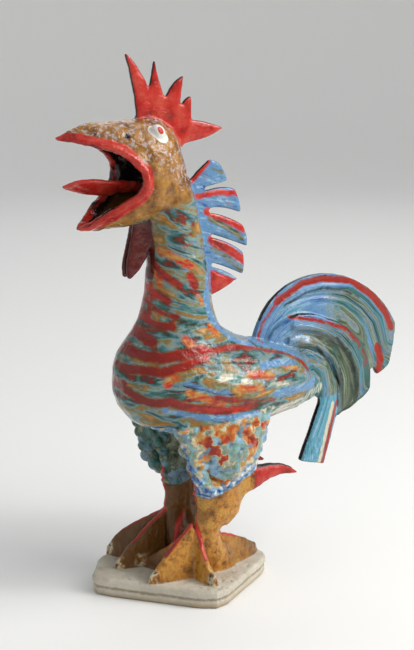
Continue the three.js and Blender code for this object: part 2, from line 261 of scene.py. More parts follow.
def line_distance(points, line):
    """Distance from each point to a line of straight pieces."""
    best = np.full(len(points), 1e9)
    corners = np.array(line, float)
    if len(corners) == 1:
        return np.linalg.norm(points - corners[0], axis=1)
    for start, end in zip(corners[:-1], corners[1:]):
        along = end - start
        t = np.clip((points - start) @ along / (along @ along), 0, 1)
        gap = np.linalg.norm(points - start - t[:, None] * along, axis=1)
        best = np.minimum(best, gap)
    return best


def both_sides(points, line):
    """Distance to a line or to its mirror image across the middle plane."""
    mirrored = [(-x, y, z) for x, y, z in line]
    return np.minimum(line_distance(points, line), line_distance(points, mirrored))


def side_view(points, line):
    """Distance to a line drawn in the side view, as (y, z) points."""
    return line_distance(points[:, 1:], line)


# Where each kind of clay is, as distances in millimetres that are positive inside


def regions(points):
    """Named fields over the surface, each above zero inside its region."""
    x, y, z = points.T
    side = np.abs(x)
    middle, half_x, half_y = axis_of(NECK, z)
    roundness = np.sqrt(np.clip(1 - (x / half_x) ** 2, 0, 1))
    back = middle + half_y * roundness
    front = middle - half_y * roundness
    head_top = np.interp(y, HEAD_TOP_Y, HEAD_TOP_Z)
    comb_front = np.where(z > COMB_TINES_FOOT, COMB_TINES_FRONT, COMB_FRONT)
    found = {}
    found["comb"] = np.minimum.reduce(
        [PLATE_HALF - side, z - head_top + COMB_MARGIN, y - comb_front, z - COMB_FOOT]
    )
    found["mane"] = np.minimum.reduce(
        [PLATE_HALF - side, y - back - MANE_MARGIN, z - MANE_FOOT, MANE_TOP - z]
    )
    found["wattle"] = np.minimum.reduce(
        [WATTLE_HALF - side, front - y, y - WATTLE_FRONT, WATTLE_TOP - z, z - WATTLE_FOOT]
    )
    tail_height = z - TAIL_FOOT + TAIL_FOOT_SLOPE * (y - TAIL_START)
    tail_plates = np.minimum.reduce([TAIL_HALF - side, y - TAIL_START, tail_height])
    found["tail"] = np.maximum(tail_plates, y - BODY_END)
    found["hanging"] = np.minimum.reduce([y - HANGING_FRONT, HANGING_TOP - z, HANGING_BACK - y])
    found["slab"] = SLAB_TOP + SLAB_MARGIN - z
    found["beak"] = LIP_REACH - both_sides(points, BEAK_EDGE)
    found["tongue"] = np.minimum(TONGUE_REACH - line_distance(points, TONGUE_LINE), TONGUE_ROOT - y)
    found["leg"] = np.minimum(LEG_TOP - z, z - SLAB_TOP)
    thigh_height = THIGH_TOP - z + THIGH_TOP_SLOPE * (y - THIGH_MIDDLE)
    thighs = np.minimum.reduce([z - thigh_hem(points), thigh_height, THIGH_BACK - y, y - THIGH_FRONT])
    found["thigh"] = np.minimum(thighs, np.maximum(side - THIGH_INNER, BELLY - z))
    found["eye"] = EYE_REACH - both_sides(points, EYE_LINE)
    found["head"] = np.minimum(z - HEAD_FOOT - HEAD_FOOT_SLOPE * (y - HEAD_MIDDLE), HEAD_BACK - y)
    wing_height = np.minimum(height_along(y, WING_TOP) - z, z - height_along(y, WING_FOOT))
    found["wing"] = np.minimum(wing_height, side - WING_INNER)
    return found


def height_along(y, line):
    """Height at y of a line given as (y, z) points."""
    table = np.array(line, float)
    return np.interp(y, table[:, 0], table[:, 1])


def strand_place(points):
    """Across the tail's strands, 0 on the outer line and 1 more on each next one."""
    total = 0
    sum_of_weights = 0
    for place, line in enumerate(TAIL_LINES):
        weight = 1 / (side_view(points, line) + 1.5) ** 2
        total = total + place * weight
        sum_of_weights = sum_of_weights + weight
    return total / sum_of_weights


def brush_flow(points, zone):
    """Coordinates that run slowly along the brush's path and quickly across it."""
    x, y, z = points.T
    slant = NECK_SLANT * rise(z, 240, 300)
    across, along = BODY_BRUSH
    body = np.stack([(z + slant * y) / across, y / along, np.abs(x) / along], axis=1)
    reach = np.hypot(y - TAIL_MIDDLE[0], z - TAIL_MIDDLE[1])
    stroke = strand_place(points) * TAIL_STROKES_PER_LINE
    tail = np.stack([stroke, reach / TAIL_BRUSH_LENGTH, x / TAIL_BRUSH_DEPTH], axis=1)
    across, along = LEG_BRUSH
    leg = np.stack([x / across, y / across, z / along], axis=1)
    on_tail = rise(np.maximum(zone["tail"], 0.5 * (y - 116)), -2, 2)[:, None]
    on_leg = rise(zone["leg"], -1, 1)[:, None]
    return (body * (1 - on_tail) + tail * on_tail) * (1 - on_leg) + leg * on_leg


def thigh_hem(points):
    """Height of the thighs' ragged lower edge, lowest near the front of each shank."""
    x, y, _ = points.T
    return height_along(y - np.where(x > 0, LEG_STAGGER, -LEG_STAGGER), THIGH_HEM)


# Form


def clay_form(node):
    """The visible rooster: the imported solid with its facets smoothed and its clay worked."""
    mesh = node.data.copy()
    rooster = bpy.data.objects.new("rooster", mesh)
    bpy.context.scene.collection.objects.link(rooster)
    weld = rooster.modifiers.new("weld", "WELD")
    weld.merge_threshold = WELD_GAP * MM
    remesh = rooster.modifiers.new("remesh", "REMESH")
    remesh.mode = "VOXEL"
    remesh.voxel_size = VOXEL * MM
    baked(rooster)
    mesh = rooster.data

    edges = np.empty(len(mesh.edges) * 2, np.int32)
    mesh.edges.foreach_get("vertices", edges)
    edges = edges.reshape(-1, 2)
    points = mesh_array(mesh, "co", 3) / MM
    zone = regions(points)
    thin = np.maximum.reduce(
        [zone[k] for k in ("comb", "mane", "wattle", "tail", "hanging", "beak", "tongue", "eye")]
    )
    thin = np.maximum(thin, FEET_TOP - points[:, 2])
    weight = 1 - (1 - PLATE_WEIGHT) * rise(thin, -2, 3)
    weight *= rise(points[:, 2], SLAB_TOP - 1, SLAB_TOP + 3)
    points = smoothed(points, edges, weight, FACET_ROUNDS)
    set_points(mesh, points)

    normals = mesh_array(mesh, "normal", 3)
    outwards = relief(points, normals) + SMOOTHING_LOSS * (weight > FREE_WEIGHT)
    points = points + normals * outwards[:, None]
    set_points(mesh, points)

    share = MOST_TRIANGLES / (2 * len(mesh.polygons))
    if share < 1:
        thinner = rooster.modifiers.new("thinner", "DECIMATE")
        thinner.ratio = share
        baked(rooster)
    rooster.data.shade_smooth()
    return rooster


WING_GROOVES = [
    [(-24, 209), (0, 201), (20, 197), (52, 194), (85, 193)],
    [(10, 226), (45, 222), (80, 212), (112, 200)],
    [(0, 216), (40, 208), (90, 202)],
]
MANE_GROOVES = [
    [(15, 378), (38, 385)],
    [(20, 368), (52, 362)],
    [(28, 349), (60, 329)],
    [(30, 326), (61, 304)],
    [(30, 300), (58, 284)],
]

# Depth and half width of the grooves, and depth of the hollows between the tail's strands
MANE_GROOVE = (0.8, 1.2)
WING_GROOVE = (0.9, 1.4)
NOSTRIL_PIT = (2.6, 2.0)
STRAND_DEPTH = 1.5
STRANDS_PER_LINE = 1.5

# Pinched lumps of the thighs
CURL_SPACING = 7.4
CURL_RADIUS = 6.4
CURL_HEIGHT = 3.4
CURL_SINK = 0.3
GOLDEN_SHARE = 0.618034

# Finger marks, as depth and size
BROAD_MARKS = (0.6, 22)
FINE_MARKS = (0.34, 9)
HEAD_MARKS = (0.5, 6)
HEAD_GRAIN = (0.24, 2.6)
SLAB_MARKS = (0.4, 14)
SLAB_GRAIN = (0.14, 3.5)
PIT_DEPTH = 1.2


def marks(points, kind, seed):
    """Smooth marks of a kind given as (depth, size)."""
    depth, size = kind
    return depth * noise(points, size, seed)


def groove(gap, kind):
    """Depth of a rounded groove, given as (depth, half width), at a distance from its line."""
    depth, half_width = kind
    return depth * np.exp(-((gap / half_width) ** 2))


def relief(points, normals):
    """How far the worked clay stands out of the smooth form, in millimetres."""
    x, y, z = points.T
    zone = regions(points)
    facing_side = rise(np.abs(normals[:, 0]), 0.45, 0.75)
    flow = brush_flow(points, zone)

    worked = marks(points, BROAD_MARKS, SEED) + marks(points, FINE_MARKS, SEED + 1)
    worked += (0.42 + 0.4 * rise(z, 285, 310)) * noise(flow, 0.9, SEED + 2)
    plates = np.maximum.reduce([zone[k] for k in ("comb", "mane", "tail", "hanging", "wattle")])
    worked *= 1 - 0.55 * rise(plates, -1, 2)
    head = rise(zone["head"], -4, 4) * (1 - rise(zone["comb"], -1, 1))
    worked += head * (marks(points, HEAD_MARKS, SEED + 3) + marks(points, HEAD_GRAIN, SEED + 4))

    depth = np.zeros(len(points))
    strands = rise(y, 84, 100) * facing_side * rise(np.maximum(zone["tail"], y - 116), 0, 3)
    hollows = (0.5 + 0.5 * np.cos(2 * math.pi * STRANDS_PER_LINE * strand_place(points))) ** 3
    depth += STRAND_DEPTH * strands * hollows
    for line in MANE_GROOVES:
        depth += groove(side_view(points, line), MANE_GROOVE) * rise(zone["mane"], -1, 1)
    on_wing = rise(np.abs(x), 22, 30) * (z > 180) * facing_side
    for line in WING_GROOVES:
        depth += groove(side_view(points, line), WING_GROOVE) * on_wing
    depth += groove(side_view(points, [NOSTRIL]), NOSTRIL_PIT) * (zone["head"] > 0)

    lumps = curl_height(points, zone["thigh"], pinches(points, zone["thigh"]))
    curls = CURL_HEIGHT * (lumps - CURL_SINK)
    curls *= rise(zone["thigh"], -1, 1.5)
    slab = rise(zone["slab"], -0.4, 0.6)
    slab_worked = marks(points, SLAB_MARKS, SEED + 5) + marks(points, SLAB_GRAIN, SEED + 6)
    slab_worked = (slab_worked - PIT_DEPTH * slab_pits(points)) * rise(z, 0.4, 2.5)
    return (worked - depth + curls) * (1 - slab) + slab_worked * slab


def slab_pits(points):
    """Small holes in the slab's clay, most of them near its left side, from 0 to 1."""
    x, y, z = points.T
    crowded = np.exp(-(((x - 46) / 24) ** 2 + ((y - 8) / 32) ** 2))
    holes = rise(noise(points, 3.0, SEED + 8), 0.66 - 0.36 * crowded, 0.84 - 0.24 * crowded)
    return holes * rise(z, SLAB_TOP - 1.4, SLAB_TOP - 0.6)


def pinches(points, thigh):
    """Middles of the pinched lumps on the thighs, spread evenly but at random."""
    inside = np.flatnonzero(thigh > -1)
    order = np.random.default_rng(SEED).permutation(inside)
    middles = []
    cells = {}
    steps = [(i, j, k) for i in (-1, 0, 1) for j in (-1, 0, 1) for k in (-1, 0, 1)]
    for point in points[order]:
        key = tuple((point // CURL_SPACING).astype(int))
        near = [q for i, j, k in steps for q in cells.get((key[0] + i, key[1] + j, key[2] + k), [])]
        if all(np.dot(point - q, point - q) > CURL_SPACING**2 for q in near):
            cells.setdefault(key, []).append(point)
            middles.append(point)
    tree = kdtree.KDTree(len(middles))
    for number, middle in enumerate(middles):
        tree.insert(Vector(middle), number)
    tree.balance()
    return tree


def curl_height(points, thigh, tree):
    """Pinched lumps of clay that overlap all over the thighs."""
    height = np.zeros(len(points))
    warp = 2.6 * noise(points, 4.5, SEED + 9)
    for index in np.flatnonzero(thigh > -1):
        _, _, gap = tree.find(Vector(points[index]))
        height[index] = math.sqrt(max(0.0, 1 - ((gap + warp[index]) / CURL_RADIUS) ** 2))
    return height


def curl_shade(points, thigh, tree):
    """A random number from 0 to 1 for each pinched lump, so that each has a glaze of its own."""
    shade = np.full(len(points), 0.5)
    warped = points + 2 * np.stack([noise(points, 5, SEED + k) for k in (20, 21, 22)], axis=1)
    for index in np.flatnonzero(thigh > -1):
        _, number, _ = tree.find(Vector(warped[index]))
        shade[index] = (number * GOLDEN_SHARE) % 1
    above_hem = points[:, 2] - thigh_hem(points)
    return 0.7 * shade + 0.3 * (1 - rise(above_hem, 6, 48))


# Glaze places: strokes over the form as (width, line of points), and in the side view as (y, z) points

RED_STROKES = [
    (6, [(0, -32, 322), (7, -31, 314), (14, -29, 306), (21, -23, 301), (26, -16, 295)]),
    (6, [(-5, -34, 293), (7, -34, 288), (16, -30, 285), (22, -25, 281)]),
    (4.5, [(-12, -32, 284), (1, -36, 279), (12, -34, 274), (20, -29, 270), (28, -20, 267)]),
    (7, [(-7, -37, 269), (5, -39, 264), (16, -36, 260), (23, -31, 259), (28, -24, 259)]),
    (9, [(-8, -44, 252), (10, -45, 249), (22, -41, 245)]),
    (9, [(-6, -56, 237), (13, -54, 235), (27, -46, 234), (35, -35, 233), (40, -20, 236), (40, 0, 238)]),
    (6, [(40, 0, 238), (40, 9, 235), (33, 27, 234), (30, 43, 232), (27, 61, 228)]),
    (4.5, [(27, 61, 228), (24, 84, 221), (20, 102, 214), (21, 113, 208), (28, 117, 202)]),
    (8, [(-12, -62, 222), (16, -60, 222), (28, -51, 222), (37, -41, 221), (43, -22, 225), (43, 1, 231)]),
    (7, [(-11, -63, 209), (3, -64, 205), (18, -62, 201), (30, -55, 196), (38, -47, 194)]),
    (7.5, [(38, -47, 194), (45, -35, 195), (49, -15, 188), (52, 19, 182), (51, 42, 183)]),
    (6, [(53, 7, 196), (53, 26, 192), (51, 42, 189), (46, 68, 186)]),
    (3, [(23, -15, 354), (24, -10, 351)]),
    (3, [(22, 0, 348), (22, 1, 348)]),
    (1.6, [(24, -10, 340), (23, -3, 339)]),
    (7, [(27, -6, 303), (27, -1, 294)]),
]
ORANGE_STROKES = [
    (7, [(13, -28, 326), (20, -22, 322), (25, -12, 316), (26, -5, 311)]),
    (7, [(8, -31, 306), (15, -29, 297)]),
    (8, [(43, -30, 217), (42, -36, 211)]),
    (8, [(36, -15, 248), (39, -10, 241)]),
    (7, [(51, 42, 212), (49, 67, 207)]),
    (7, [(55, 30, 202), (53, 54, 197)]),
    (4, [(39, 84, 212), (33, 102, 206)]),
    (8, [(50, -18, 202), (52, -4, 196), (52, 13, 189)]),
    (2, [(24, -11, 329), (24, -3, 332)]),
    (5, [(26, 0, 285), (30, 8, 276)]),
    (8, [(30, 12, 255), (34, 25, 245)]),
]
BLUE_STROKES = [
    (5, [(49, -24, 212), (52, -14, 208), (54, 0, 203), (56, 19, 198)]),
    (9, [(50, 71, 189), (35, 105, 187), (27, 123, 188)]),
    (8, [(45, 58, 216), (37, 81, 215), (30, 100, 212)]),
    (6, [(41, -39, 187), (45, -25, 183), (48, -7, 178), (53, 11, 176), (54, 31, 175), (52, 49, 175)]),
    (11, [(4, 10, 392), (3, 14, 361), (3, 19, 343), (5, 22, 319), (16, 17, 300), (25, 12, 279)]),
    (10, [(25, 12, 279), (26, 16, 262), (21, 30, 247), (23, 42, 238), (22, 58, 231)]),
    (26, [(0, 20, 300), (0, 24, 270), (0, 34, 252), (0, 60, 238), (0, 84, 226)]),
    (16, [(12, 70, 230), (12, 90, 222), (14, 108, 210)]),
]
TEAL_STROKES = [
    (5, [(5, -35, 283), (15, -32, 278), (21, -28, 274)]),
    (4, [(-1, -37, 273), (9, -37, 266), (19, -32, 264), (26, -25, 264)]),
    (4, [(2, -50, 244), (15, -50, 240), (25, -45, 238)]),
    (6, [(-15, -59, 227), (-4, -61, 227)]),
    (4, [(9, -65, 213), (35, -50, 206), (43, -39, 202)]),
    (5, [(23, -21, 362), (24, -18, 356)]),
]
CREAM_STROKES = [
    (12, [(47, 57, 173), (35, 83, 170), (27, 110, 172), (19, 134, 179)]),
    (9, [(52, 10, 214), (54, 40, 206)]),
    (5, [(50, 60, 200), (45, 85, 196)]),
]
BLACK_STROKES = [
    (1.5, [(47, -23, 209), (53, -9, 205), (55, 4, 200), (56, 14, 198), (54, 40, 195)]),
    (1.5, [(40, 2, 241), (36, 14, 241), (29, 34, 238), (26, 50, 235)]),
]
MANE_RED = [
    (4.5, [(8.5, 383), (26, 399.5)]),
    (5.5, [(13, 369), (34, 371), (56, 368.5)]),
    (7.5, [(24, 355), (44, 346), (62.5, 335.5)]),
    (8, [(28, 328), (46, 318), (62.5, 306)]),
]
MANE_GREY = [
    (5, [(27, 348), (44, 339), (60, 327)]),
    (6, [(30, 320), (46, 309), (60, 298)]),
    (3, [(30, 392), (40, 388)]),
]

# The crest's red lowest tab: its first Y, the height of its upper edge there, and that edge's fall
LAST_TAB = (27.5, 301, 0.44)

TAIL_RED_OUTER = [
    (3, [(75, 218), (84, 243), (100, 262)]),
    (6.5, [(100, 262), (128, 277), (150, 279), (182, 274), (207, 256), (222, 238), (229, 222)]),
    (8, [(213, 205), (217, 192), (214, 178)]),
    (3.6, [(112, 247), (134, 243), (152, 237), (170, 230), (184, 217), (194, 200), (198, 183)]),
]
# Dark green lines on the tail, partly glaze lines and partly painted shade in the grooves between its
# strands
TAIL_DARK_AND_SHADE = [
    (2.5, [(108, 257), (130, 267), (150, 270), (172, 266), (190, 257)]),
    (2, [(150, 214), (162, 200), (168, 180)]),
    (2, [(160, 146), (168, 147), (178, 150), (188, 157), (197, 160), (202, 170)]),
    (3, [(160, 222), (175, 205), (184, 182), (186, 160)]),
    (3, [(138, 216), (152, 200), (160, 180), (162, 155)]),
]
HANGING_RED = [(4.4, [(159, 160), (155, 140), (146, 99)])]
HANGING_PALE = [(4.4, [(154, 160), (150, 140), (141, 99)])]
TOE_RIDGES = [
    [(24, 0, 112), (24, -1, 71), (31, 3, 54), (42, 3, 39)],
    [(22, -2, 69), (22, -16, 56), (22, -29, 42)],
    [(18, 2, 65), (8, -11, 50), (0, -17, 41)],
    [(-24, -8.5, 112), (-24, -9, 71), (-40, -24, 57), (-53, -37, 45)],
    [(-22, -8, 69), (-24, -26, 56), (-25, -40, 42)],
    [(-18, 10, 71), (-13, 2, 55), (-6, -6, 41)],
    [(14, 34, 50), (6, 54, 42)],
]
CLAW_TIPS = [
    (57, 4.5, 22),
    (22.5, -46, 22),
    (-26, -33, 22),
    (-12, 84, 20),
    (-67, -47, 23),
    (-26, -58, 22),
    (4, -15, 21),
]
PUPIL_LINE = [(28, -34.5, 436), (28, -33, 433.5)]
EYE_DOT = [(28.5, -31, 430)]

# How far round its line or point each small mark of glaze reaches
LIP_RED = 7.4
TOE_LINE = 2.8
CLAW_REACH = 9.5
NOSTRIL_REACH = 2.3
PUPIL_REACH = 2.8
DOT_REACH = 1.1
SEAM_REACH = 1.4

# Limits of the spurs, the gape and the dark edges along Y and Z
SPUR_Y = (60, 114)
SPUR_Z = (88, 131)
SPUR_SIDE = 24
SPUR_HALF = 9
GAPE_BACK = -8
GAPE_Z = (350, 426)
GAPE_MIDDLE = 388
GAPE_FLOOR = 372
TAIL_EDGE_FOOT = 246
NAPE_Z = (400, 430)

# Where one glaze gives way to another along X, Y and Z; some of these limits also bound the painted
# shade on the far leg, far thigh and breast, and the painted highlight on the head
TAIL_GLAZE_START = 114
ROOT_BLUE_END = 116
ROOT_BLUE_REACH = 158
ROOT_BLUE_FOOT = 236
BREAST_BACK = -22
BREAST_TOP = 262
# Reach of the painted highlight specks on the top of the head
HIGHLIGHT_FOOT = 405
HIGHLIGHT_SLOPE = 0.3
HIGHLIGHT_MIDDLE = -60
PAINTED_SHADE_SIDE = 6
FAR_THIGH_SIDE = 2
HEM_HEIGHT = 14
RIM_TOP = 3

# Lowest value of a glaze field, and how steeply a field follows the way the clay faces
FAR_BELOW = -20.0
EDGE_STEEPNESS = 6


def strokes_field(points, strokes):
    """Above zero inside brush strokes given as (width, line)."""
    best = np.full(len(points), FAR_BELOW)
    for width, line in strokes:
        best = np.maximum(best, width / 2 - both_sides(points, line))
    return best


def side_strokes(points, strokes, zone):
    """Above zero inside strokes drawn in the side view, within a zone."""
    best = np.full(len(points), FAR_BELOW)
    for width, line in strokes:
        best = np.maximum(best, width / 2 - side_view(points, line))
    return np.minimum(best, zone)


def gape_field(points, normals):
    """Above zero on the inner wall of the open beak, whose faces turn to the gape's middle."""
    x, y, z = points.T
    middle = np.stack([0 * x, y, 0 * z + GAPE_MIDDLE], axis=1) - points
    inward = np.einsum("ij,ij->i", middle, normals) / np.maximum(np.linalg.norm(middle, axis=1), 1e-6)
    low, high = GAPE_Z
    return np.minimum.reduce([GAPE_BACK - y, z - low, high - z, EDGE_STEEPNESS * inward])


def spur_field(points):
    """Above zero on the two spurs."""
    x, y, z = points.T
    side = SPUR_HALF - np.abs(np.abs(x) - SPUR_SIDE)
    return np.minimum.reduce([y - SPUR_Y[0], SPUR_Z[1] - z, z - SPUR_Z[0], side, SPUR_Y[1] - y])


def red_field(points, zone, on_tail):
    """Above zero under the red glaze."""
    _, y, z = points.T
    first, height, slope = LAST_TAB
    toe_lines = TOE_LINE - line_distances(points, TOE_RIDGES)
    return np.maximum.reduce(
        [
            strokes_field(points, RED_STROKES),
            zone["comb"],
            LIP_RED - both_sides(points, BEAK_EDGE),
            zone["tongue"],
            side_strokes(points, MANE_RED, zone["mane"]),
            np.minimum.reduce([y - first, height - slope * (y - first) - z, zone["mane"] + 1]),
            side_strokes(points, TAIL_RED_OUTER, on_tail),
            side_strokes(points, HANGING_RED, zone["hanging"]),
            spur_field(points),
            np.minimum(toe_lines, z - SLAB_TOP - 3),
        ]
    )


def black_field(points, normals, zone, on_tail, gape):
    """Above zero under the black glaze, which also lines the edges of the plates, and under the black
    painted shade inside the open beak.
    """
    _, y, z = points.T
    edge_on = EDGE_STEEPNESS * (0.5 - rise(np.abs(normals[:, 0]), 0.4, 0.75))
    free_edge = np.maximum(z - TAIL_EDGE_FOOT, y - BODY_END)
    off_nape = np.maximum(NAPE_Z[0] - z, z - NAPE_Z[1])
    upward = EDGE_STEEPNESS * (normals[:, 2] - 0.6)
    return np.maximum.reduce(
        [
            strokes_field(points, BLACK_STROKES),
            np.minimum.reduce([edge_on, np.maximum(zone["comb"], zone["mane"]), off_nape]),
            np.minimum(edge_on, np.maximum(np.minimum(on_tail, free_edge), zone["hanging"])),
            # Painted shade: the inner wall of the open beak is painted black
            np.minimum(gape, 1 - np.maximum(zone["tongue"], zone["beak"] - 4)),
            np.minimum(NOSTRIL_REACH - side_view(points, [NOSTRIL]), zone["head"]),
            np.minimum(spur_field(points) - 1, upward),
        ]
    )


def paint_fields(points, normals):
    """Each glaze, and each painted shade and highlight, as a field that is above zero where it lies."""
    x, y, z = points.T
    zone = regions(points)
    on_tail = np.maximum(zone["tail"], 0.6 * (y - TAIL_GLAZE_START))
    gape = gape_field(points, normals)
    thigh = zone["thigh"]
    blue = np.maximum(strokes_field(points, BLUE_STROKES), zone["mane"])
    root_top = np.minimum(0.4 * (ROOT_BLUE_REACH - y), z - ROOT_BLUE_FOOT)
    return {
        "red": red_field(points, zone, on_tail),
        "black": black_field(points, normals, zone, on_tail, gape),
        # Blue kept off the far thigh, whose darker greens are partly painted shade
        "blue": np.where(x < 0, np.minimum(blue, -2 - 2 * thigh), blue),
        "hem": np.minimum.reduce([thigh, HEM_HEIGHT - (z - thigh_hem(points)), x]),
        "teal": strokes_field(points, TEAL_STROKES),
        "cream": strokes_field(points, CREAM_STROKES),
        "orange": strokes_field(points, ORANGE_STROKES),
        "halo": strokes_field(points, RED_STROKES) + 1.0,
        # Painted shade: the far leg, on the side away from the lamps, is darkened towards deep ochre
        "shade": 0.5 * (PAINTED_SHADE_SIDE - x),
        "tail_dark_and_shade": side_strokes(points, TAIL_DARK_AND_SHADE, on_tail),
        "hanging": zone["hanging"],
        "grey": side_strokes(points, MANE_GREY, zone["mane"]),
        "pale_edge": side_strokes(points, HANGING_PALE, zone["hanging"]),
        "wattle": zone["wattle"],
        "head": zone["head"],
        # Painted highlight: how far up the head the pale lilac specks reach
        "head_top": z - HIGHLIGHT_FOOT + HIGHLIGHT_SLOPE * (y - HIGHLIGHT_MIDDLE),
        "leg": np.minimum(zone["leg"], -thigh),
        "thigh": thigh,
        # Far thigh: darker greens, partly its own glaze and partly painted shade on the side away from
        # the lamps
        "far_thigh": np.minimum(thigh, FAR_THIGH_SIDE - x),
        "wing": zone["wing"],
        # The breast, where the red is darkened, partly as painted shade on the side away from the lamps
        "breast": np.minimum(0.35 * (BREAST_BACK - y), 0.4 * (BREAST_TOP - z)),
        "tail": on_tail,
        "tail_root": np.maximum(0.5 * (ROOT_BLUE_END - y), root_top),
        "slab": zone["slab"],
        "rim": np.minimum(zone["slab"], RIM_TOP - z),
        "plate": np.maximum.reduce([zone["comb"], zone["mane"], on_tail, zone["wattle"]]),
        "seam": SEAM_REACH - np.abs(z - SLAB_LAYER + 0.6 * noise(points, 16, SEED + 31)),
        "eye": zone["eye"] - 0.6,
        "pupil": PUPIL_REACH - both_sides(points, PUPIL_LINE),
        "glint": DOT_REACH - both_sides(points, EYE_DOT),
        "claw": np.minimum(CLAW_REACH - claw_gap(points), z - SLAB_TOP + 0.5),
        # Painted shade: the floor of the open beak is painted deep ochre
        "painted_mouth_shade": np.minimum.reduce([gape, GAPE_FLOOR - z, 1 - zone["beak"]]),
        # Painted shade: darker clay inside the slab's small holes
        "painted_pit_shade": 12 * slab_pits(points) - 4,
    }


def line_distances(points, lines):
    """Distance to the nearest of several lines."""
    return np.minimum.reduce([line_distance(points, line) for line in lines])


def claw_gap(points):
    """Distance to the nearest claw tip."""
    return np.minimum.reduce([np.linalg.norm(points - np.array(tip), axis=1) for tip in CLAW_TIPS])


# Glaze material


class Nodes:
    """Short spellings for the shader nodes that the glaze needs."""

    def __init__(self, material):
        material.use_nodes = True
        self.tree = material.node_tree
        self.tree.nodes.clear()

    def new(self, kind, **settings):
        """A new node with its settings."""
        node = self.tree.nodes.new(kind)
        for name, value in settings.items():
            setattr(node, name, value)
        return node

    def link(self, value, socket):
        """Joins an output to a socket, or sets the socket to a constant."""
        if isinstance(value, bpy.types.NodeSocket):
            self.tree.links.new(value, socket)
        else:
            socket.default_value = value

    def math(self, operation, a, b, clamp=False):
        """One sum of two values."""
        node = self.new("ShaderNodeMath", operation=operation, use_clamp=clamp)
        self.link(a, node.inputs[0])
        self.link(b, node.inputs[1])
        return node.outputs[0]

    def field(self, name):
        """A glaze field from the mesh."""
        return self.new("ShaderNodeAttribute", attribute_name=name).outputs["Fac"]

    def noise(self, place, scale, detail=2.0, roughness=0.5, distortion=0.0):
        """Cloudy noise from 0 to 1."""
        node = self.new("ShaderNodeTexNoise")
        self.link(place, node.inputs["Vector"])
        node.inputs["Scale"].default_value = scale
        node.inputs["Detail"].default_value = detail
        node.inputs["Roughness"].default_value = roughness
        node.inputs["Distortion"].default_value = distortion
        return node.outputs["Fac"]

    def ramp(self, factor, stops):
        """A colour that runs through stops given as (position, colour)."""
        node = self.new("ShaderNodeValToRGB")
        elements = node.color_ramp.elements
        while len(elements) < len(stops):
            elements.new(0.5)
        for element, (position, colour) in zip(elements, stops):
            element.position = position
            element.color = (*colour, 1)
        self.link(factor, node.inputs["Fac"])
        return node.outputs["Color"]

    def mix(self, factor, below, above):
        """One colour over another."""
        node = self.new("ShaderNodeMix", data_type="RGBA")
        self.link(factor, node.inputs["Factor"])
        self.link(below if not isinstance(below, tuple) else (*below, 1), node.inputs["A"])
        self.link(above if not isinstance(above, tuple) else (*above, 1), node.inputs["B"])
        return node.outputs["Result"]

    def band(self, value, low, high, most):
        """From 0 below low up to most above high."""
        node = self.new("ShaderNodeMapRange", interpolation_type="SMOOTHSTEP")
        self.link(value, node.inputs["Value"])
        node.inputs["From Min"].default_value = low
        node.inputs["From Max"].default_value = high
        node.inputs["To Max"].default_value = most
        return node.outputs["Result"]

    def cover(self, field, wobble, reach, softness):
        """From a field in millimetres to how far its glaze covers, with a wandering edge."""
        pushed = self.math("MULTIPLY_ADD", wobble, reach)
        pushed.node.inputs[2].default_value = -0.5 * reach
        total = self.math("ADD", field, pushed)
        scaled = self.math("MULTIPLY_ADD", total, 1 / softness)
        scaled.node.inputs[2].default_value = 0.5
        scaled.node.use_clamp = True
        return scaled


# Colours

RED = (0.45, 0.020, 0.014)
RED_LIGHT = (0.56, 0.070, 0.045)
RED_DEEP = (0.20, 0.012, 0.008)
BRICK = (0.30, 0.020, 0.012)
MAROON_SHADED = (0.085, 0.010, 0.008)
BLUE = (0.11, 0.245, 0.43)
BLUE_PALE = (0.26, 0.42, 0.56)
BLUE_DEEP = (0.025, 0.075, 0.27)
BLUE_GREY = (0.15, 0.23, 0.29)
CYAN = (0.085, 0.29, 0.40)
TEAL = (0.035, 0.15, 0.14)
TEAL_PALE = (0.20, 0.36, 0.33)
GREEN = (0.045, 0.075, 0.045)
GREEN_DEEP = (0.018, 0.038, 0.030)
OLIVE = (0.17, 0.15, 0.055)
SAGE = (0.22, 0.26, 0.18)
OCHRE = (0.32, 0.140, 0.024)
OCHRE_DEEP = (0.105, 0.042, 0.009)
OCHRE_PALE = (0.48, 0.27, 0.07)
GOLD = (0.50, 0.28, 0.05)
AMBER = (0.50, 0.20, 0.028)
ORANGE = (0.50, 0.12, 0.020)
CREAM = (0.58, 0.52, 0.37)
WHITE = (0.74, 0.73, 0.68)
# Colour of the painted highlight specks on the head
LILAC_HIGHLIGHT = (0.52, 0.47, 0.50)
BLACK = (0.010, 0.010, 0.011)
CLAY = (0.47, 0.42, 0.33)
CLAY_PALE = (0.60, 0.56, 0.47)
CLAY_DARK = (0.24, 0.18, 0.11)
CLAY_WARM = (0.38, 0.29, 0.17)
STAGE_COLOUR = (0.86, 0.86, 0.85)
ROOM_COLOUR = (0.86, 0.88, 0.90)
DAYLIGHT = (1.0, 0.98, 0.95)
SKYLIGHT = (0.93, 0.96, 1.0)
NEUTRAL = (1.0, 1.0, 1.0)

# Gloss and bumps of the glaze
GLAZE_IOR = 1.42
GLAZE_ROUGHNESS = 0.09
SLAB_DRYNESS = 0.66
LEG_DRYNESS = 0.22
BUMP_DISTANCE = 0.0022
BUMP_STRENGTH = 0.8
PLATE_CALM = -0.45


